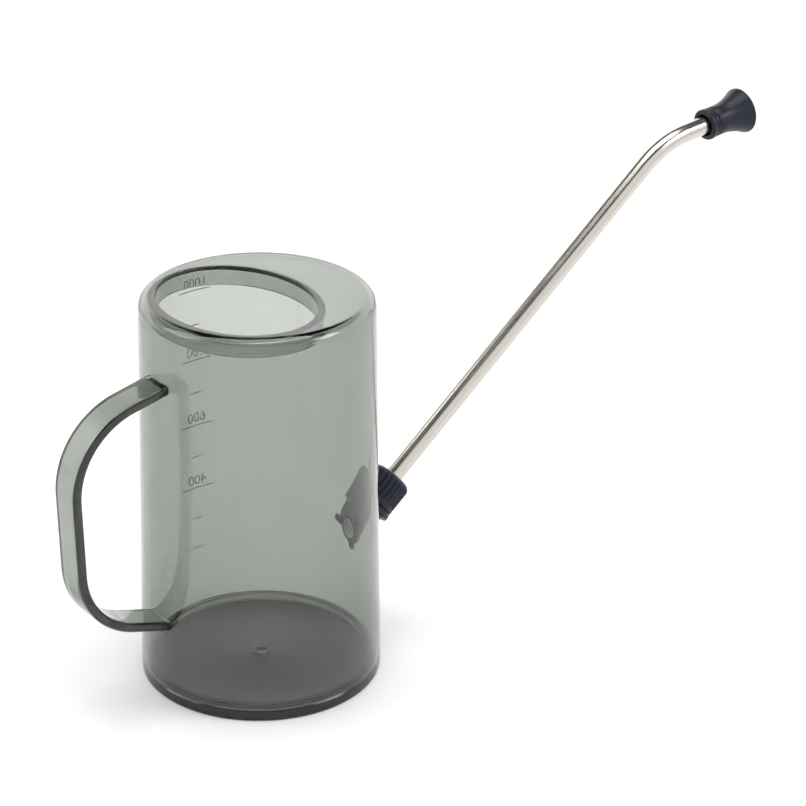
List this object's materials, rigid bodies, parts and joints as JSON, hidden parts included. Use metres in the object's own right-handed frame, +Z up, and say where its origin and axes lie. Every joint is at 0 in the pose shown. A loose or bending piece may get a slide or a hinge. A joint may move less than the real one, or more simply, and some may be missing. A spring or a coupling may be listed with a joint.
{
  "type": "watering can",
  "caption": "Clear round watering can with an oval fill opening, strap handle, volume scale and a long bent steel spout that turns and pulls out of its coupling.",
  "frame": {"origin": "centre of the underside of the base", "axes": "+X from the handle towards the spout, +Z up"},
  "size_m": [0.3529, 0.1, 0.2005],
  "materials": {
    "smoky_clear": "clear smoky grey-green, polished",
    "scale_ink": "thin raised print",
    "black_plastic": "satin moulded",
    "black_rubber": "matt",
    "pale_silicone": "translucent satin",
    "washer_plastic": "satin",
    "stainless": "fine drawn finish along the tube"
  },
  "bodies": {
    "can": {"can_body": "smoky_clear", "base_disc": "smoky_clear", "handle": "smoky_clear", "scale_marks": "scale_ink", "spout_socket": "black_plastic", "retainer": "black_plastic", "outlet_bush": "pale_silicone", "wall_gasket": "black_rubber", "seat_ring": "black_plastic"},
    "seal": {"spout_seal": "black_rubber"},
    "tube": {"spout_tube": "stainless"},
    "tip_seal": {"nozzle_seal": "black_rubber"},
    "nozzle": {"nozzle_shell": "black_plastic", "rose_plate": "black_plastic"},
    "washer": {"slip_washer": "washer_plastic"},
    "nut": {"coupling_nut": "black_plastic"}
  },
  "joints": [
    {"name": "spout_swivel", "type": "hinge", "parent": "can", "child": "seal", "pos_m": [0.04916, 0, 0.05], "axis": [0.7738, 0, 0.6334], "continuous": true},
    {"name": "spout_pull", "type": "slide", "parent": "seal", "child": "tube", "axis": [0.7738, 0, 0.6334], "range_m": [0, 0.03]},
    {"name": "nozzle_turn", "type": "hinge", "parent": "tube", "child": "tip_seal", "pos_m": [0.23829, 0, 0.18786], "axis": [0.993, 0, 0.1184], "continuous": true},
    {"name": "nozzle_pull", "type": "slide", "parent": "tip_seal", "child": "nozzle", "axis": [0.993, 0, 0.1184], "range_m": [0, 0.012]},
    {"name": "nut_travel", "type": "slide", "parent": "can", "child": "washer", "axis": [0.7738, 0, 0.6334], "range_m": [0, 0.0076]},
    {"name": "nut_turn", "type": "hinge", "parent": "washer", "child": "nut", "pos_m": [0.04916, 0, 0.05], "axis": [0.7738, 0, 0.6334], "range_deg": [0, 1800]}
  ],
  "couplings": [
    {"joint": "nut_travel", "follows": "nut_turn", "m_per_rad": 0.00023873}
  ]
}
